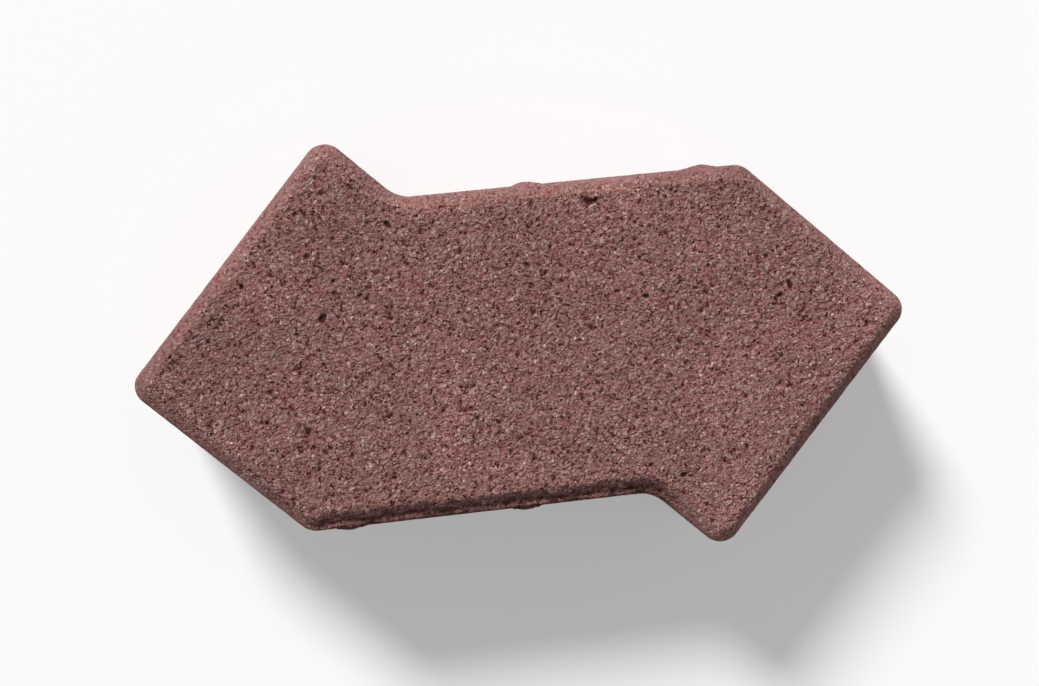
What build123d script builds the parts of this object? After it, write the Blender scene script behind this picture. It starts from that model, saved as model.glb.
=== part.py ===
from build123d import *
import os
from math import atan2, cos, degrees, radians, sin, tan

os.makedirs("parts", exist_ok=True)

# An interlocking paving stone pressed in one piece from coloured concrete. It lies flat, as laid: its
# length along X, its bedding face on Z = 0 and its wearing face up. All sizes are millimetres.

# Overall sizes, measured over the rounded tips
overall_length = 241.0
overall_width = 136.6
thickness = 60.0
body_width = 100.0          # between the two straight sides

# Angles in degrees that the slanted edges make with the straight sides
flank_angle = 46.8          # long edge, from a nose back to its barb
point_angle = 45.0          # short edges, beside the nose and under the barb

# Upright corners of the outline
nose_radius = 6.0
barb_radius = 6.5
shoulder_radius = 7.0
notch_radius = 11.0

# Bevel round the wearing face, and the narrow ledge that the press leaves at its foot
ledge_width = 1.0
bevel_width = 3.6
bevel_depth = 3.0
bevel_round = 2.5           # softens the arris between the bevel and the wearing face
round_share = 0.8           # most of the room left at the tightest corner that the rounding may take

# Spacer nibs, which hold the joint open between neighbouring stones
nib_width = 9.5
nib_stand = 1.25            # how far a nib stands out from the straight side
nib_drop = 3.5              # from the wearing face down to the nib's top end, just under the ledge
nib_slope_height = 2.0      # the top end slopes back into the side over this height
nib_root = 2.0              # how far its section reaches into the stone
nib_from_shoulder = 13.0
nib_pitch = 55.0
nibs_each_side = 2


# How far a sharp corner would stand out past the tip of its rounding. The angles are those between
# its two edges and the direction that the corner points back along.
def corner_loss(radius, first_angle, second_angle):
    half_sum = radians((first_angle + second_angle) / 2)
    half_difference = radians((first_angle - second_angle) / 2)
    return radius * (cos(half_difference) / sin(half_sum) - 1)


# Sharp corners of the upper half of the outline. The lower half is the same, turned half round.
nose_reach = overall_length / 2 + corner_loss(nose_radius, flank_angle, point_angle)
barb_reach = overall_width / 2 + corner_loss(barb_radius, 90 - flank_angle, 90 - point_angle)
side_reach = body_width / 2
barb_x = barb_reach / tan(radians(flank_angle)) - nose_reach
notch_x = barb_x + (barb_reach - side_reach) / tan(radians(point_angle))
shoulder_x = nose_reach - side_reach / tan(radians(point_angle))

nose = (-nose_reach, 0)
barb = (barb_x, barb_reach)
notch = (notch_x, side_reach)
shoulder = (shoulder_x, side_reach)
half_outline = [nose, barb, notch, shoulder]
outline_corners = half_outline + [(-x, -y) for x, y in half_outline]
corner_radii = [nose_radius, barb_radius, notch_radius, shoulder_radius]

# The bevel leans in by this angle from upright, and the rounding at its top has to fit inside the
# tightest upright corner.
bevel_lean = degrees(atan2(bevel_width, bevel_depth))
corner_room = min(nose_radius, barb_radius) - ledge_width - bevel_width
top_round = min(bevel_round, round_share * corner_room / tan(radians(90 - bevel_lean) / 2))

nib_height = thickness - nib_drop

# One spacer nib, standing out along Y from the stone's straight side at Y = 0
with BuildPart() as spacer_nib:
    with BuildSketch():
        with BuildLine():
            crest = ThreePointArc((-nib_width / 2, 0), (0, nib_stand), (nib_width / 2, 0))
            Polyline(crest @ 1, (nib_width / 2, -nib_root), (-nib_width / 2, -nib_root), crest @ 0)
        make_face()
    extrude(amount=nib_height)
    with BuildSketch(Plane.YZ):
        with BuildLine():
            Polyline(
                (0, nib_height),
                (nib_stand, nib_height - nib_slope_height),
                (nib_stand, nib_height),
                close=True,
            )
        make_face()
    extrude(amount=nib_width, both=True, mode=Mode.SUBTRACT)

# Where the nibs stand on the upper side, and on the lower side turned half round
nib_places = [shoulder_x - nib_from_shoulder - nib_pitch * count for count in range(nibs_each_side)]
upper_nibs = [Location((x, side_reach, 0)) for x in nib_places]
lower_nibs = [Location((-x, -side_reach, 0), (0, 0, 180)) for x in nib_places]

with BuildPart() as paving_stone:
    # Walls, straight up from the bedding face to the ledge
    with BuildSketch() as outline:
        with BuildLine():
            Polyline(*outline_corners, close=True)
        make_face()
        for (x, y), radius in zip(half_outline, corner_radii):
            for turn in (1, -1):
                corner = outline.vertices().sort_by_distance((turn * x, turn * y, 0))[0]
                fillet(corner, radius=radius)
    extrude(amount=thickness - bevel_depth)

    # Crown inside the ledge, with its bevel and the soft arris at the bevel's top
    with BuildSketch(Plane.XY.offset(thickness - bevel_depth)):
        add(outline.sketch_local)
        offset(amount=-ledge_width)
    extrude(amount=bevel_depth, taper=bevel_lean)
    wearing_face = paving_stone.faces().sort_by(Axis.Z)[-1]
    fillet(wearing_face.edges(), radius=top_round)

    with Locations(*upper_nibs, *lower_nibs):
        add(spacer_nib.part)

paving_stone.part.label = "paving_stone"
export_step(paving_stone.part, "parts/paving_stone.step")
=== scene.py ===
import math
import bpy
import numpy as np
from mathutils import Matrix, Vector
from mathutils.geometry import delaunay_2d_cdt
from mathutils.kdtree import KDTree


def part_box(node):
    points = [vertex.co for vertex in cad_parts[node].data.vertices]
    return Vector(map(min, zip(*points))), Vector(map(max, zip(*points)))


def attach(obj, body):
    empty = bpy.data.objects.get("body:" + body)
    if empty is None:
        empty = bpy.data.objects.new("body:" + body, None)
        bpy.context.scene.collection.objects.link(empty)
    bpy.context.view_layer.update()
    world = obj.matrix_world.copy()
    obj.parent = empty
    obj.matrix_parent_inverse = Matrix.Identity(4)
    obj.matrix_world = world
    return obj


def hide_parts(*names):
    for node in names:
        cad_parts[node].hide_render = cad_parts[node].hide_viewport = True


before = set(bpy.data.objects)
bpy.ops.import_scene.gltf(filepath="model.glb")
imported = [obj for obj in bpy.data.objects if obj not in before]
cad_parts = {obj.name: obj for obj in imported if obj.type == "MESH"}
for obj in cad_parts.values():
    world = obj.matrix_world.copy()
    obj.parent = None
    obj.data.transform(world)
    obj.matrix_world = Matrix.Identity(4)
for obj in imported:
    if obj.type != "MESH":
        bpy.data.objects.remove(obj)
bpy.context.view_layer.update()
scene = bpy.context.scene
mm = 0.001
print("frame loaded")


# Camera and view

view = {
    "lens": 50.0,
    "sensor": 36.0,
    "place": (-37.87, 32.70, 502.17),       # millimetres, over the left part of the stone
    "forward": (0.0798, -0.0696, -0.9944),
    "up": (0.1056, 0.9925, -0.0610),        # the stone's length climbs a little to the right
    "clip": (0.01, 20.0),                   # metres
}


def makeCamera():
    data = bpy.data.cameras.new("viewCamera")
    data.lens = view["lens"]
    data.sensor_width = view["sensor"]
    data.clip_start, data.clip_end = view["clip"]
    camera = bpy.data.objects.new("viewCamera", data)
    scene.collection.objects.link(camera)
    back = -Vector(view["forward"]).normalized()
    side = Vector(view["up"]).cross(back).normalized()
    turn = Matrix((side, back.cross(side), back)).transposed()
    camera.matrix_world = Matrix.Translation(Vector(view["place"]) * mm) @ turn.to_4x4()
    scene.camera = camera


makeCamera()
print("camera placed")


# Node helpers: a wrapped socket for value maths, and one method that makes every other node

class Wire:
    def __init__(self, graph, socket):
        self.graph = graph
        self.socket = socket

    def maths(self, operation, first, second):
        return self.graph.node("ShaderNodeMath", {"operation": operation}, {0: first, 1: second})["Value"]

    def __add__(self, other):
        return self.maths("ADD", self, other)

    def __radd__(self, other):
        return self.maths("ADD", other, self)

    def __sub__(self, other):
        return self.maths("SUBTRACT", self, other)

    def __rsub__(self, other):
        return self.maths("SUBTRACT", other, self)

    def __mul__(self, other):
        return self.maths("MULTIPLY", self, other)

    def __rmul__(self, other):
        return self.maths("MULTIPLY", other, self)

    def atMost(self, other):
        return self.maths("MINIMUM", self, other)

    def atLeast(self, other):
        return self.maths("MAXIMUM", self, other)

    def step(self, low, high):      # 0 under low, 1 over high, smooth between
        settings = {"interpolation_type": "SMOOTHSTEP"}
        sockets = {"Value": self, "From Min": low, "From Max": high, "To Min": 0.0, "To Max": 1.0}
        return self.graph.node("ShaderNodeMapRange", settings, sockets)["Result"]


class Outputs:      # a made node's outputs, by name
    def __init__(self, graph, made):
        self.graph = graph
        self.made = made

    def __getitem__(self, name):
        found = next(s for s in self.made.outputs if s.enabled and s.name == name)
        return Wire(self.graph, found)


class Graph:
    def __init__(self, owner):
        owner.use_nodes = True
        self.tree = owner.node_tree
        self.tree.nodes.clear()

    def node(self, kind, settings=None, sockets=None):      # sockets take values or wires
        made = self.tree.nodes.new(kind)
        for name, value in (settings or {}).items():
            setattr(made, name, value)
        for name, value in (sockets or {}).items():
            self.feed(made, name, value)
        return Outputs(self, made)

    def feed(self, made, name, value):
        if isinstance(name, int):
            socket = made.inputs[name]
        else:
            socket = next(s for s in made.inputs if s.enabled and s.name == name)
        if isinstance(value, Wire):
            self.tree.links.new(value.socket, socket)
        elif socket.type == "RGBA" and len(value) == 3:
            socket.default_value = (*value, 1.0)
        else:
            socket.default_value = value

    def blend(self, factor, first, second, way="MIX"):
        settings = {"data_type": "RGBA", "blend_type": way, "clamp_factor": True}
        sockets = {"Factor": factor, "A": first, "B": second}
        return self.node("ShaderNodeMix", settings, sockets)["Result"]

    def vector(self, operation, sockets):
        return self.node("ShaderNodeVectorMath", {"operation": operation}, sockets)["Vector"]

    def attribute(self, name):
        return self.node("ShaderNodeAttribute", {"attribute_name": name})["Fac"]


# Random fields on points, in millimetres. Each use has a seed of its own, so that no two look alike.

def latticeRandom(cell, seed):      # a number from 0 to 1 for each cell, always the same one
    mixed = cell[..., 0] * 73856093 + cell[..., 1] * 19349663 + cell[..., 2] * 83492791 + seed * 2654435
    mixed = (mixed ^ (mixed >> 13)) * 1274126177
    mixed = mixed ^ (mixed >> 16)
    return (mixed & 0xFFFFF) / float(0xFFFFF)


def smoothField(points, size, seed):        # value noise from -1 to 1
    place = points / size
    cell = np.floor(place).astype(np.int64)
    part = place - cell
    part = part * part * (3.0 - 2.0 * part)
    total = np.zeros(len(points))
    for corner in np.ndindex(2, 2, 2):
        weight = np.prod(np.where(corner, part, 1.0 - part), axis=1)
        total += weight * latticeRandom(cell + np.array(corner), seed)
    return total * 2.0 - 1.0


def shareField(points, size, seed):         # value noise from 0 to 1
    return smoothField(points, size, seed) * 0.5 + 0.5


def grainField(points, size, seed):         # distance to the nearest grain's centre, in grain sizes
    place = points / size
    cell = np.floor(place).astype(np.int64)
    nearest = np.full(len(points), np.inf)
    for step in np.ndindex(3, 3, 3):
        near = cell + np.array(step) - 1
        centre = near + np.stack([latticeRandom(near, seed + axis) for axis in range(3)], axis=1)
        nearest = np.minimum(nearest, np.linalg.norm(centre - place, axis=1))
    return nearest


def smoothStep(value, start, end):          # 0 under start, 1 over end, smooth between
    part = np.clip((value - start) / (end - start), 0.0, 1.0)
    return part * part * (3.0 - 2.0 * part)


# The stone's shape, in millimetres and degrees

stone = {
    "node": "paving_stone",
    "slot": "concrete",
    "bodyWidth": 100.0,
    "flankAngle": 46.8,
    "pointAngle": 45.0,
    "cornerRadii": (6.0, 6.5, 11.0, 7.0),   # nose, barb, notch, shoulder
    "ledgeWidth": 1.0,
    "bevelWidth": 3.6,
    "bevelDepth": 3.0,
    "bevelRound": 2.5,
    "footWear": 0.3,            # how far the arris at the bed is worn round
    "lipWear": (1.0, 1.3),      # how far in and down the ledge's outer arris is worn round
    "nibWidth": 9.5,
    "nibStand": 1.25,
    "nibDrop": 3.5,
    "nibSlope": 2.0,
    "nibFromShoulder": 13.0,
    "nibPitch": 55.0,
    "nibCount": 2,
    # where the vertices lie
    "seed": 41,
    "columnGap": 0.85,          # round the outline
    "rowGap": 1.4,              # up the walls
    "faceGap": 0.68,
    "bedGap": 1.7,
    "bevelRows": 6,
    "ringEnd": 4.1,             # rings of vertices as far in as this, scattered vertices from there on
    "faceMargin": 0.6,          # from the last ring to the scattered vertices, in their gaps
    "bedMargin": 0.5,
    "jitter": 0.22,             # how far a scattered vertex leaves its grid, in gaps
}

low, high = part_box(stone["node"])
halfLength = (high.x - low.x) / 2 / mm
halfWidth = (high.y - low.y) / 2 / mm
thickness = (high.z - low.z) / mm
ledgeHeight = thickness - stone["bevelDepth"]


def cornerLoss(radius, firstAngle, secondAngle):        # how far rounding a corner draws its tip in
    halfSum = math.radians((firstAngle + secondAngle) / 2)
    halfDifference = math.radians((firstAngle - secondAngle) / 2)
    return radius * (math.cos(halfDifference) / math.sin(halfSum) - 1)


def sharpCorners():         # the outline's corners before rounding, clockwise from the left nose
    flank = stone["flankAngle"]
    point = stone["pointAngle"]
    noseReach = halfLength + cornerLoss(stone["cornerRadii"][0], flank, point)
    barbReach = halfWidth + cornerLoss(stone["cornerRadii"][1], 90 - flank, 90 - point)
    side = stone["bodyWidth"] / 2
    barbX = barbReach / math.tan(math.radians(flank)) - noseReach
    notchX = barbX + (barbReach - side) / math.tan(math.radians(point))
    shoulderX = noseReach - side / math.tan(math.radians(point))
    half = [(-noseReach, 0.0), (barbX, barbReach), (notchX, side), (shoulderX, side)]
    return [Vector(p) for p in half] + [-Vector(p) for p in half]


def outlineColumns(gap):        # points round the outline, clockwise from above, with their inward normals
    corners = sharpCorners()
    radii = stone["cornerRadii"] * 2
    places = []
    inward = []
    ends = []
    for index, corner in enumerate(corners):
        back = (corners[index - 1] - corner).normalized()
        ahead = (corners[(index + 1) % len(corners)] - corner).normalized()
        half = back.angle(ahead) / 2
        centre = corner + (back + ahead).normalized() * radii[index] / math.sin(half)
        reach = radii[index] / math.tan(half)
        ends.append((corner + back * reach, corner + ahead * reach, centre, radii[index]))
    for index, (start, end, centre, radius) in enumerate(ends):
        spoke = start - centre
        sweep = spoke.angle_signed(end - centre)
        steps = max(4, round(abs(sweep) * radius / gap))        # at least 4 round a bend
        sign = 1.0 if sweep > 0 else -1.0       # a clockwise bend is convex
        for count in range(steps):
            turned = Matrix.Rotation(-sweep * count / steps, 2) @ spoke
            places.append(centre + turned)
            inward.append(-turned.normalized() * sign)
        following = ends[(index + 1) % len(ends)][0]
        along = following - end
        steps = round(along.length / gap)
        for count in range(steps):
            places.append(end + along * count / steps)
            inward.append(Vector((along.y, -along.x)).normalized())
    return np.array(places), np.array(inward)


def profileHeight(inset):       # height of the upper surface at a distance in from the outline
    slope = math.atan2(stone["bevelDepth"], stone["bevelWidth"])
    arris = stone["ledgeWidth"] + stone["bevelWidth"]
    setback = stone["bevelRound"] * math.tan(slope / 2)
    height = ledgeHeight + (inset - stone["ledgeWidth"]) * math.tan(slope)
    top = arris + setback
    arc = stone["bevelRound"] ** 2 - (top - np.minimum(inset, top)) ** 2
    rounded = thickness - stone["bevelRound"] + np.sqrt(np.maximum(arc, 0.0))
    height = np.where(inset > arris - setback * math.cos(slope), rounded, height)
    return np.where(inset <= stone["ledgeWidth"], ledgeHeight, np.where(inset >= top, thickness, height))


def insetOf(points, outline):       # distance of each point from the outline
    along = np.roll(outline, -1, axis=0) - outline
    lengths = (along ** 2).sum(axis=1)
    result = np.empty(len(points))
    batch = 2000                    # points at a time, to spare memory
    for start in range(0, len(points), batch):
        part = points[start:start + batch, None, :] - outline[None]
        share = np.clip((part * along[None]).sum(axis=2) / lengths, 0.0, 1.0)
        apart = part - share[..., None] * along[None]
        result[start:start + batch] = np.sqrt((apart ** 2).sum(axis=2).min(axis=1))
    return result


def insideOutline(points, outline):
    inside = np.zeros(len(points), bool)
    following = np.roll(outline, -1, axis=0)
    for (ax, ay), (bx, by) in zip(outline, following):
        if ay == by:
            continue
        crosses = (points[:, 1] < ay) != (points[:, 1] < by)
        inside ^= crosses & (points[:, 0] < ax + (points[:, 1] - ay) * (bx - ax) / (by - ay))
    return inside


def scatterInside(outline, gap, margin, random):        # an uneven triangular grid
    across = np.arange(outline[:, 0].min(), outline[:, 0].max(), gap)
    rows = np.arange(outline[:, 1].min(), outline[:, 1].max(), gap * math.sqrt(3) / 2)
    grid = np.stack(np.meshgrid(across, rows), axis=2)
    grid[1::2, :, 0] += gap / 2
    jitter = random.uniform(-stone["jitter"], stone["jitter"], (grid.size // 2, 2))
    points = grid.reshape(-1, 2) + jitter * gap
    points = points[insideOutline(points, outline)]
    return points[insetOf(points, outline) > margin]


def fillOutline(ring, scattered):       # triangles between a ring and the points inside it
    places = [Vector(p) for p in np.concatenate([ring, scattered])]
    edges = [(i, (i + 1) % len(ring)) for i in range(len(ring))]
    insideOnly = 1
    tolerance = 1e-6
    made = delaunay_2d_cdt(places, edges, [], insideOnly, tolerance)
    origin = [source[0] for source in made[3]]
    return [tuple(origin[i] for i in face) for face in made[2]]


def nibBulge(columns, height):      # how far the spacer nibs push a row of wall vertices out along Y
    shoulderX = sharpCorners()[3].x
    chord = stone["nibWidth"] / 2
    stand = stone["nibStand"]
    radius = (chord ** 2 + stand ** 2) / (2 * stand)
    side = np.sign(columns[:, 1])
    onSide = np.isclose(np.abs(columns[:, 1]), stone["bodyWidth"] / 2, rtol=0.0, atol=0.01)
    bulge = np.zeros(len(columns))
    for count in range(stone["nibCount"]):
        centre = shoulderX - stone["nibFromShoulder"] - stone["nibPitch"] * count
        offset = np.minimum(np.abs(columns[:, 0] * side - centre), chord)
        bulge += np.sqrt(radius ** 2 - offset ** 2) - (radius - stand)
    room = (thickness - stone["nibDrop"] - height) / stone["nibSlope"] * stand
    return side * np.where(onSide, np.clip(np.minimum(bulge, room), 0.0, stand), 0.0)


def layerPlan():        # inset and height of each ring of vertices, from the bed up to the bevel's top
    wear = stone["footWear"]
    across, down = stone["lipWear"]
    plan = [(wear, 0.0), (wear / 6, wear / 4)]          # the worn foot
    wallFoot = wear * 1.2
    walls = np.linspace(wallFoot, ledgeHeight - down, round(ledgeHeight / stone["rowGap"]))
    plan += [(0.0, height) for height in walls]
    for turn in (0.4, 0.75, 1.05, 1.3):         # quarter turn of the worn lip, in radians
        plan.append((across * (1.0 - math.cos(turn)), ledgeHeight - down * (1.0 - math.sin(turn))))
    for inset in np.linspace(stone["ledgeWidth"], stone["ringEnd"], stone["bevelRows"]):
        plan.append((inset, float(profileHeight(inset))))
    return plan


def buildShape():       # one closed skin: rings up the walls and bevel, then the wearing face and the bed
    random = np.random.default_rng(stone["seed"])
    outline, inward = outlineColumns(stone["columnGap"])
    count = len(outline)
    layers = []
    for inset, height in layerPlan():
        layer = np.column_stack([outline + inward * inset, np.full(count, height)])
        layer[:, 1] += nibBulge(outline, height)
        layers.append(layer)
    faces = []
    for level in range(len(layers) - 1):
        first = level * count
        for column in range(count):
            beside = (column + 1) % count
            faces.append((first + beside, first + column, first + count + column, first + count + beside))
    upperRing = layers[-1][:, :2]
    upper = scatterInside(upperRing, stone["faceGap"], stone["faceGap"] * stone["faceMargin"], random)
    upper = crowdPits(upper, random)
    upperHeights = profileHeight(insetOf(upper, outline))
    lowerRing = layers[0][:, :2]
    lower = scatterInside(lowerRing, stone["bedGap"], stone["bedGap"] * stone["bedMargin"], random)
    topRing = (len(layers) - 1) * count
    for face in fillOutline(upperRing, upper):      # the scattered vertices follow the last ring
        faces.append(tuple(topRing + i for i in face))
    bedStart = topRing + count + len(upper)
    for face in fillOutline(lowerRing, lower):
        faces.append(tuple(reversed([i if i < count else bedStart + i - count for i in face])))
    places = np.concatenate([
        *layers,
        np.column_stack([upper, upperHeights]),
        np.column_stack([lower, np.zeros(len(lower))]),
    ])
    return places, faces, outline


# Relief: grain, pits and wear on the pressed shape, in millimetres. It stays inside the stone's own
# size. The front is the straight side towards -Y, whose lip is open and torn.

relief = {
    "seed": 7,
    "facing": (0.2, 0.5),       # a normal's upright share from which a wall turns into a face
    "waveSize": 26.0,
    "waveDepth": 0.16,
    "rippleShare": 0.7,         # added waves of a third of that size
    "bedWaves": 1.6,            # the waves are this many times as deep in the bed
    "bendSize": 1.7,            # the lumps are bent out of round
    "bend": 0.5,
    "lumpSize": 2.1,
    "lumpDepth": 0.25,
    "roughSize": 1.3,
    "roughDepth": 0.20,
    "bedGrain": 0.5,            # added share of lumps and roughness in the bed
    "bevelShare": 0.8,          # how much of the face's grain shows on the smoother bevel
    "bevelFade": (0.6, 3.6),    # the bevel's smoothness fades out between these insets
    "arrisDrop": 0.12,          # how far the arris at the bevel's top is worn down
    "arrisReach": 1.5,
    "crownShift": -0.6,         # how far in the press moves the drawn bevel, so here it moves out
    "dragSize": 1.7,            # drag marks that run up the walls
    "dragStretch": 8.0,
    "dragPatch": 14.0,
    "dragDepth": 0.30,
    "rimDepth": 4.0,            # the walls are smoother over this much under the ledge
    "rimEnd": 4.0,              # fully so from this far under the wearing face
    "rimSmooth": 0.7,
    "burrHeight": 0.30,         # rough lip left on the ledge
    "burrSize": 2.0,
    "burrPatch": 11.0,
    "burrFacing": (0.1, 0.4),
    "burrStart": (0.05, 0.3),   # it grows between these insets
    "burrEnd": (0.9, 1.6),      # and ends between these
    # the front
    "frontStart": (42.0, 46.0),     # it begins this far out along -Y
    "frontMiddle": -15.0,           # along X
    "frontReach": 60.0,             # to each side of that
    "frontFade": 8.0,
    "frontGrain": 0.8,              # how much of the bevel's smoothness is lost there
    "frontShift": 0.9,              # how far in the press moves its bevel
    "frontWobble": 0.8,             # how far its broken arris wanders from that
    "wobbleSize": 4.5,
    "frontTear": 0.5,               # how deep its bevel is torn open
    "tearSize": 1.9,
    "tearStep": (0.35, 0.65),
    "tearFade": (4.5, 7.0),
    "frontBurr": 0.75,
    "lipFacing": (-0.3, 0.2),
    "lipFade": (1.6, 4.2),          # its open lip, darkened with grime and painted shade, ends between these insets
    # the largest pits of the wearing face: x, y, radius
    "mainPits": (
        (23.5, 43, 1.3), (25.5, 43, 1.1), (-39, 42, 0.9), (-84.5, 27.5, 1.0), (-61.5, 15.5, 1.1),
        (-57, 26.5, 0.8), (-109, 9, 0.9), (38.5, 12, 0.9), (84, 11, 1.0), (80.5, 8, 0.8),
        (-69.5, -18.5, 1.2), (-81.5, -14.5, 0.9), (35, -40.5, 1.0), (45, -45, 0.9),
    ),
    "mainDepth": 0.9,               # share of the radius
    "mainRings": ((0.0, 1), (0.35, 6), (0.7, 11), (1.05, 15), (1.35, 15)),      # radii and vertices
    "mainClearing": 1.45,           # the even vertices stop at this many radii
    "mainJitter": 0.04,
    "leastGap": 0.12,               # between the vertices of two pits that meet
    # the other pits: how many, least and largest radius, depth as a share of it, which also sets how dark
    # their painted shade is
    "facePits": {"count": 620, "radius": (0.5, 0.8), "share": 0.8},
    "wallPits": {"count": 760, "radius": (0.8, 1.9), "share": 0.45},
    "bedPits": {"count": 700, "radius": (1.2, 2.8), "share": 0.5},
    "unevenDepth": (0.6, 1.2),      # times that depth, at random
    "chips": {"count": 110, "radius": (1.2, 3.0), "share": (0.15, 0.35)},      # in the arris at the bed
    "pitReach": 1.6,                # no pit goes past this many radii
    "pitFill": 0.85,
    "pitStretch": 0.45,             # pits are longer one way than the other
    "pitWobble": 0.45,              # and their rims uneven
    "pitWobbleSize": 1.1,
}


def crowdPits(points, random):      # closer vertices in and round each of the largest pits
    kept = np.ones(len(points), bool)
    rings = []
    for x, y, radius in relief["mainPits"]:
        centre = np.array((x, y))
        kept &= np.linalg.norm(points - centre, axis=1) > radius * relief["mainClearing"]
        for share, count in relief["mainRings"]:
            turns = (np.arange(count) + random.uniform()) / count * 2 * math.pi
            ring = np.column_stack([np.cos(turns), np.sin(turns)]) * radius * share
            jitter = random.uniform(-relief["mainJitter"], relief["mainJitter"], (count, 2))
            rings.append(centre + ring + jitter * radius)
    added = np.concatenate(rings)
    apart = np.ones(len(added), bool)
    for index in range(1, len(added)):
        gaps = np.linalg.norm(added[:index][apart[:index]] - added[index], axis=1)
        apart[index] = gaps.min() > relief["leastGap"]
    return np.concatenate([points[kept], added[apart]])


# a pit's darkness is the painted shade that the material puts in it
def pitPlaces(places, normals, outline, random):        # centre, radius, depth and darkness of every pit
    pits = []
    for x, y, radius in relief["mainPits"]:
        pits.append((Vector((x, y, thickness)), radius, radius * relief["mainDepth"], 1.0))
    height = places[:, 2]
    upward = normals[:, 2]
    wallTop = ledgeHeight - relief["rimDepth"]
    groups = {      # the vertices that each kind of pit may be centred on
        "facePits": height > thickness - 0.6,
        "wallPits": (np.abs(upward) < 0.3) & (height > 1.0) & (height < wallTop),
        "bedPits": upward < -0.8,
    }
    for name, chosen in groups.items():
        least, most = relief[name]["radius"]
        share = relief[name]["share"]
        for index in random.choice(np.flatnonzero(chosen), relief[name]["count"]):
            radius = least + (most - least) * random.uniform() ** 2
            depth = radius * share * random.uniform(*relief["unevenDepth"])
            pits.append((Vector(places[index]), radius, depth, share))
    chips = relief["chips"]
    for index in random.choice(len(outline), chips["count"]):
        radius = random.uniform(*chips["radius"])
        pits.append((Vector((*outline[index], 0.0)), radius, radius * random.uniform(*chips["share"]), 0.0))
    return pits


# hollowness from 0 to 1 is painted shade that the material puts in the pits
def carvePits(places, normals, outline):        # depth in millimetres, and hollowness from 0 to 1
    random = np.random.default_rng(relief["seed"])
    tree = KDTree(len(places))
    for index, place in enumerate(places):
        tree.insert(place, index)
    tree.balance()
    uneven = 1.0 + relief["pitWobble"] * smoothField(places, relief["pitWobbleSize"], 90)
    depth = np.zeros(len(places))
    hollow = np.zeros(len(places))
    for centre, radius, deepest, darkness in pitPlaces(places, normals, outline, random):
        longWay = random.normal(size=3)
        longWay /= np.linalg.norm(longWay)
        found = tree.find_range(centre, radius * relief["pitReach"])
        if not found:
            continue
        index = np.array([entry[1] for entry in found])
        offset = places[index] - np.array(centre)
        stretch = np.abs(offset @ longWay) * relief["pitStretch"]
        apart = (np.linalg.norm(offset, axis=1) - stretch) / (radius * relief["pitFill"]) * uneven[index]
        bowl = np.clip(1.0 - apart ** 2, 0.0, 1.0)
        depth[index] = np.maximum(depth[index], deepest * np.sqrt(bowl))
        hollow[index] = np.maximum(hollow[index], bowl * darkness)
    return depth, hollow


def frontShare(places):         # 1 along the front, 0 elsewhere
    outward = smoothStep(-places[:, 1], *relief["frontStart"])
    along = relief["frontReach"] - np.abs(places[:, 0] - relief["frontMiddle"])
    return outward * smoothStep(along, 0.0, relief["frontFade"])


def grainDepth(places):
    bends = np.column_stack([smoothField(places, relief["bendSize"], seed) for seed in (3, 4, 5)])
    warped = places + relief["bend"] * bends
    lumps = np.clip(grainField(warped, relief["lumpSize"], 6), 0.0, 1.0) ** 2
    rough = shareField(places, relief["roughSize"], 9)
    return relief["lumpDepth"] * lumps + relief["roughDepth"] * rough


def dragDepth(places):          # marks that the mould leaves in the walls as the stone is pushed out
    squeezed = places / np.array((1.0, 1.0, relief["dragStretch"]))
    marks = relief["dragDepth"] * shareField(squeezed, relief["dragSize"], 10)
    return marks * shareField(places, relief["dragPatch"], 11)


def bevelLift(places, inset, front):        # from the drawn bevel up to the one that the press leaves
    arris = stone["ledgeWidth"] + stone["bevelWidth"]
    frontShift = relief["frontShift"] + relief["frontWobble"] * smoothField(places, relief["wobbleSize"], 14)
    pressed = inset - relief["crownShift"] * (1.0 - front) - frontShift * front
    near = np.exp(-(((pressed - arris) / relief["arrisReach"]) ** 2))
    return profileHeight(pressed) - profileHeight(inset) - near * relief["arrisDrop"]


def burrLift(places, normals, inset, front):
    onLedge = smoothStep(normals[:, 2], *relief["burrFacing"]) * smoothStep(inset, *relief["burrStart"])
    onLedge *= 1.0 - smoothStep(inset, *relief["burrEnd"])
    # doubled, because two fields multiplied average a quarter
    burr = shareField(places, relief["burrSize"], 12) * shareField(places, relief["burrPatch"], 13) * 2.0
    burr *= relief["burrHeight"] * (1.0 - front) + relief["frontBurr"] * front
    return onLedge * burr


def pressRelief(places, normals, outline):      # moved vertices, and where the material shows what
    inset = insetOf(places[:, :2], outline)
    up = smoothStep(normals[:, 2], *relief["facing"])
    bed = smoothStep(-normals[:, 2], *relief["facing"])
    wall = 1.0 - up - bed
    front = frontShare(places)
    bevel = up * (1.0 - smoothStep(inset, *relief["bevelFade"])) * (1.0 - relief["frontGrain"] * front)
    waves = shareField(places, relief["waveSize"], 1)
    waves += relief["rippleShare"] * shareField(places, relief["waveSize"] / 3, 2)
    depth = relief["waveDepth"] * waves * (up + relief["bedWaves"] * bed) + wall * dragDepth(places)
    grain = grainDepth(places) * (1.0 - bevel * (1.0 - relief["bevelShare"]))
    depth += grain * (1.0 + relief["bedGrain"] * bed)
    torn = smoothStep(shareField(places, relief["tearSize"], 15), *relief["tearStep"])
    torn *= 1.0 - smoothStep(inset, *relief["tearFade"])
    depth += relief["frontTear"] * torn * front * up
    rim = wall * smoothStep(places[:, 2], ledgeHeight - relief["rimDepth"], thickness - relief["rimEnd"])
    pitDepth, hollow = carvePits(places, normals, outline)
    depth = depth * (1.0 - relief["rimSmooth"] * rim) + pitDepth
    moved = places - normals * depth[:, None]
    moved[:, 2] += up * bevelLift(places, inset, front)
    moved[:, 2] += burrLift(places, normals, inset, front)
    # the front's lip, whose colour the material darkens with grime and painted shade
    lip = front * smoothStep(normals[:, 2], *relief["lipFacing"])
    lip *= 1.0 - smoothStep(inset, *relief["lipFade"])
    return moved, {"hollow": hollow, "bevel": bevel, "wall": wall, "bed": bed, "lip": lip}


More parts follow.
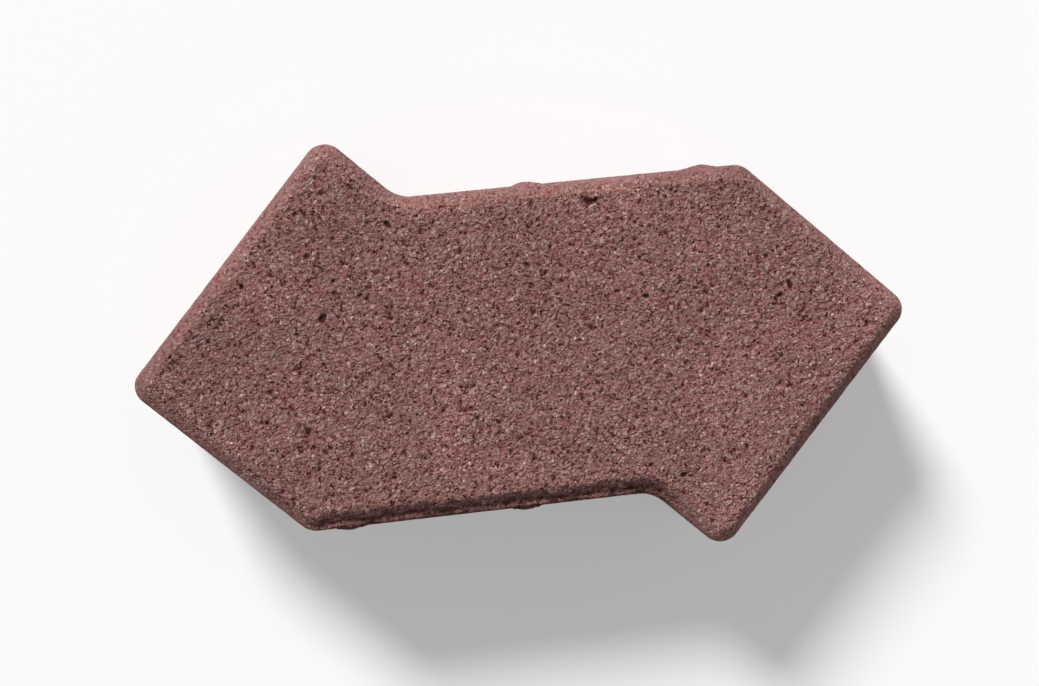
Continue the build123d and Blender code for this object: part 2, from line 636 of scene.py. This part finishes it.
places, faces, outline = buildShape()
mesh = bpy.data.meshes.new("pavingStone")
mesh.from_pydata((places * mm).tolist(), [], faces)
mesh.update()
print("shape built", len(places), "vertices", sum(len(f) - 2 for f in faces), "triangles")
normals = np.empty(len(places) * 3)
mesh.vertices.foreach_get("normal", normals)
moved, masks = pressRelief(places, normals.reshape(-1, 3), outline)
mesh.vertices.foreach_set("co", (moved * mm).ravel())
for name, values in masks.items():
    layer = mesh.attributes.new(name, "FLOAT", "POINT")
    layer.data.foreach_set("value", values)
mesh.polygons.foreach_set("use_smooth", [True] * len(mesh.polygons))
mesh.update()
print("relief pressed")
piece = bpy.data.objects.new("pavingStone", mesh)
scene.collection.objects.link(piece)
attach(piece, "root")
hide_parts(stone["node"])


# Concrete

finish = {
    "deepColour": (0.045, 0.008, 0.006),        # painted shade inside pits and in the front lip's gaps, and the dark of open pores
    "dullColour": (0.120, 0.024, 0.018),        # paste between the grains, darkened as painted shade in those gaps; also the odd dull grain's colour
    "mainColour": (0.262, 0.128, 0.111),
    "paleColour": (0.435, 0.294, 0.272),        # crowns of the grains, paler partly as a painted highlight
    "speckColour": (0.66, 0.47, 0.43),          # the odd bare grain, partly a painted glint
    "bevelColour": (0.250, 0.127, 0.122),       # cement skin smoothed by the press
    "wallColour": (0.225, 0.130, 0.118),
    "lipColour": (0.115, 0.052, 0.047),         # grime and painted shade on the front's open lip, the side away from the key light
    "grainSize": 1.28,                          # millimetres, as are the other sizes
    "fineSize": 0.75,
    "lumpSize": 1.5,
    "sandSize": 0.5,
    "poreSize": 1.3,
    "pinSize": 0.8,
    "bendSize": 2.1,                            # the grains are bent out of round
    "bend": (0.9, 0.9, 0.9),
    "grainShare": 0.28,                         # what each adds to how far a spot stands up
    "fineShare": 0.38,
    "lumpShare": 0.62,
    "sandShare": 0.40,
    "sink": 0.31,                               # and what all of them together lose
    "grainLean": 0.9,                           # how much the grains' flat faces lean
    "fineLean": 1.1,
    "grainRelief": 0.70,
    "skinFill": 0.2,                            # how far the bevel's skin levels them
    "mainStep": (0.12, 0.44),                   # standing height at which main colour replaces dull
    "paleStep": (0.48, 0.76),                   # and pale replaces main
    "dullPick": (0.80, 0.95),                   # the random number that makes a grain dull
    "dullShare": 0.4,
    "speckPick": (0.89, 0.94),                  # and that bares it
    "bevelCover": 0.65,                         # how far each skin hides the grains' colours
    "wallCover": 0.55,
    "bedCover": 0.5,
    "skinCover": 0.6,                           # how far the bevel's skin hides bare grains and pores
    "poreStep": (0.63, 0.69),
    "pinStep": (0.71, 0.77),
    "patchSize": 6.0,                           # pores come in patches
    "patchStep": (0.38, 0.58),
    # how far the front lip's grime and painted shade cover it
    "lipCover": 0.55,
    "lipPatches": 0.35,                         # added in the same patches
    # how the pits' hollowness turns into painted shade
    "hollowStep": (0.15, 0.6),
    "hollowCover": 0.95,
    "driftSize": 34.0,                          # slow change of shade
    "drift": 0.5,
    "brightening": 0.0005,                      # for each millimetre along X
    "redSize": 16.0,                            # redder patches
    "redStep": (0.5, 0.75),
    "redFineSize": 6.5,                         # and smaller ones, which are redder still
    "redFineStep": (0.56, 0.72),
    "redFineShare": 1.6,
    "redness": 0.03,
    "specular": 0.2,
    "roughness": (0.80, 0.97),
}


def concrete():
    material = bpy.data.materials.new("pressedConcrete")
    graph = Graph(material)
    meters = graph.node("ShaderNodeTexCoord")["Object"]
    place = graph.vector("SCALE", {"Vector": meters, "Scale": 1 / mm})

    def noise(size, detail=0.0, roughness=0.5, at=place, output="Fac"):
        sockets = {"Vector": at, "Scale": 1 / size, "Detail": detail, "Roughness": roughness}
        return graph.node("ShaderNodeTexNoise", None, sockets)[output]

    def grains(size, at):       # each grain's dome, the lean of its flat face, and random picks for it
        sockets = {"Vector": at, "Scale": 1 / size, "Randomness": 1.0}
        found = graph.node("ShaderNodeTexVoronoi", {"feature": "F1"}, sockets)
        picks = graph.node("ShaderNodeSeparateColor", None, {"Color": found["Color"]})
        across = graph.vector("SUBTRACT", {0: at, 1: found["Position"]})
        way = graph.vector("SUBTRACT", {0: found["Color"], 1: (0.5, 0.5, 0.5)})
        lean = graph.node("ShaderNodeVectorMath", {"operation": "DOT_PRODUCT"}, {0: across, 1: way})["Value"]
        apart = found["Distance"] * 1.1         # from the grain's middle, in grain sizes
        dome = (1.0 - apart * apart).step(0.1, 1.0)
        return dome, lean * dome, picks

    bend = noise(finish["bendSize"], output="Color")
    warped = graph.vector("MULTIPLY_ADD", {0: bend, 1: finish["bend"], 2: place})
    grain, grainLean, grainPick = grains(finish["grainSize"], warped)
    fine, fineLean, finePick = grains(finish["fineSize"], warped)
    lumps = noise(finish["lumpSize"], detail=2.0, roughness=0.62)
    sand = noise(finish["sandSize"], detail=1.0)
    patch = noise(finish["patchSize"], detail=1.0)
    hollow = graph.attribute("hollow")
    bevel = graph.attribute("bevel")
    wall = graph.attribute("wall")
    bed = graph.attribute("bed")
    lip = graph.attribute("lip")

    # how far each spot stands up, from the paste to the crowns of grains that each have their own height
    crown = grain * (0.35 + 0.65 * grainPick["Red"]) * finish["grainShare"]
    crown = crown + fine * (0.3 + 0.7 * finePick["Red"]) * finish["fineShare"]
    crown = crown + lumps * finish["lumpShare"] + sand * finish["sandShare"] - finish["sink"]
    height = crown + grainLean * finish["grainLean"] + fineLean * finish["fineLean"]
    height = height * (1.0 - finish["skinFill"] * bevel)
    bumpSockets = {"Strength": 1.0, "Distance": finish["grainRelief"] * mm, "Height": height}
    normal = graph.node("ShaderNodeBump", None, bumpSockets)["Normal"]

    # paste, grains and their pale crowns, a few dull or bare grains, then the skins of bevel, wall and bed;
    # the dark paste between the grains is partly painted shade, the pale crowns and bare grains partly
    # painted highlights
    colour = graph.blend(crown.step(*finish["mainStep"]), finish["dullColour"], finish["mainColour"])
    # grains paler where they stand up, partly a painted highlight
    pale = crown.step(*finish["paleStep"]) * (0.2 + 0.8 * finePick["Green"])
    colour = graph.blend(pale, colour, finish["paleColour"])
    dull = finePick["Blue"].step(*finish["dullPick"]) * finish["dullShare"]
    colour = graph.blend(dull, colour, finish["dullColour"])
    bare = 1.0 - finish["skinCover"] * bevel
    # bare grains whitened on their crowns, partly painted glints
    speck = finePick["Green"].step(*finish["speckPick"]) * (0.3 + 0.7 * sand.step(0.4, 0.6))
    speck = speck * crown.step(0.3, 0.6) * bare
    colour = graph.blend(speck, colour, finish["speckColour"])
    colour = graph.blend(bevel * finish["bevelCover"] * crown.step(0.15, 0.5), colour, finish["bevelColour"])
    colour = graph.blend(wall * finish["wallCover"] + bed * finish["bedCover"], colour, finish["wallColour"])

    # open pores, the front's lip with its grime and painted shade, and the pits with their painted shade
    pores = noise(finish["poreSize"], detail=1.0, at=warped).step(*finish["poreStep"])
    pores = pores * patch.step(*finish["patchStep"])
    pores = pores.atLeast(noise(finish["pinSize"]).step(*finish["pinStep"]))
    # the front lip's low spots take the dark of pits as painted shade
    pores = (pores * bare).atLeast(lip * (1.0 - crown.step(0.2, 0.5)))
    lipGrimeAndShade = lip * (finish["lipCover"] + finish["lipPatches"] * patch.step(0.4, 0.6))
    colour = graph.blend(lipGrimeAndShade, colour, finish["lipColour"])
    # painted shade in the pits, over the pores' own dark
    hollows = hollow.step(*finish["hollowStep"]) * finish["hollowCover"]
    colour = graph.blend(pores.atLeast(hollows), colour, finish["deepColour"])

    # slow changes of shade and redness over the whole stone
    drift = noise(finish["driftSize"], detail=1.0) - 0.5
    redder = noise(finish["redSize"], detail=1.0).step(*finish["redStep"])
    redFine = noise(finish["redFineSize"], detail=1.0).step(*finish["redFineStep"])
    redder = (redder + redFine * finish["redFineShare"]) * finish["redness"]
    along = graph.node("ShaderNodeSeparateXYZ", None, {"Vector": place})["X"]
    shade = 1.0 + drift * finish["drift"] + along * finish["brightening"]
    tintSockets = {"Red": shade + redder, "Green": shade - redder, "Blue": shade}
    tint = graph.node("ShaderNodeCombineColor", None, tintSockets)["Color"]
    colour = graph.blend(1.0, colour, tint, "MULTIPLY")

    least, most = finish["roughness"]
    shader = graph.node("ShaderNodeBsdfPrincipled", None, {
        "Base Color": colour,
        "Roughness": most - crown.step(0.4, 0.9) * (most - least),
        "Specular IOR Level": finish["specular"],
        "Normal": normal,
    })
    graph.node("ShaderNodeOutputMaterial", None, {"Surface": shader["BSDF"]})
    return material


mesh.materials.append(concrete())
print("concrete made")


# Studio

studio = {
    "keyAzimuth": 113.0,
    "keyElevation": 35.0,
    "keySoftness": 14.0,
    "fill": 0.22,
    "white": (1.0, 1.0, 1.0),
    "floorSize": 6.0,           # metres
    "floorColour": (0.94, 0.94, 0.94),
    "floorRoughness": 0.9,
    "floorGlow": 0.3,           # share of plain white that the camera sees in the floor, to pale the shadow
}


def makeKeyLight():
    azimuth = math.radians(studio["keyAzimuth"])
    elevation = math.radians(studio["keyElevation"])
    toLight = Vector((
        math.cos(azimuth) * math.cos(elevation),
        math.sin(azimuth) * math.cos(elevation),
        math.sin(elevation),
    ))
    data = bpy.data.lights.new("keyLight", "SUN")
    data.angle = math.radians(studio["keySoftness"])
    data.energy = (1.0 - studio["fill"]) * math.pi / math.sin(elevation)    # colours render as written
    key = bpy.data.objects.new("keyLight", data)
    key.rotation_mode = "QUATERNION"
    key.rotation_quaternion = toLight.to_track_quat("Z", "Y")
    key.location = toLight
    scene.collection.objects.link(key)


def makeWorld():
    world = bpy.data.worlds.new("studio")
    scene.world = world
    graph = Graph(world)
    path = graph.node("ShaderNodeLightPath")
    seen = (path["Is Camera Ray"] + path["Is Glossy Ray"] + path["Is Transmission Ray"]).atMost(1.0)
    light = graph.node("ShaderNodeBackground", None, {"Color": studio["white"], "Strength": studio["fill"]})
    white = graph.node("ShaderNodeBackground", None, {"Color": studio["white"], "Strength": 1.0})
    both = graph.node("ShaderNodeMixShader", None, {0: seen, 1: light["Background"], 2: white["Background"]})
    graph.node("ShaderNodeOutputWorld", None, {"Surface": both["Shader"]})


def makeFloor():
    material = bpy.data.materials.new("floorPaint")
    graph = Graph(material)
    paintSockets = {"Base Color": studio["floorColour"], "Roughness": studio["floorRoughness"]}
    paint = graph.node("ShaderNodeBsdfPrincipled", None, paintSockets)
    glow = graph.node("ShaderNodeEmission", None, {"Color": studio["white"], "Strength": 1.0})
    share = graph.node("ShaderNodeLightPath")["Is Camera Ray"] * studio["floorGlow"]
    both = graph.node("ShaderNodeMixShader", None, {0: share, 1: paint["BSDF"], 2: glow["Emission"]})
    graph.node("ShaderNodeOutputMaterial", None, {"Surface": both["Shader"]})
    reach = studio["floorSize"] / 2
    corners = [(-reach, -reach, 0), (reach, -reach, 0), (reach, reach, 0), (-reach, reach, 0)]
    floorMesh = bpy.data.meshes.new("floor")
    floorMesh.from_pydata(corners, [], [(0, 1, 2, 3)])
    floorMesh.materials.append(material)
    floor = bpy.data.objects.new("floor", floorMesh)
    scene.collection.objects.link(floor)


makeKeyLight()
makeWorld()
makeFloor()
scene.view_settings.view_transform = "Standard"
print("studio made")
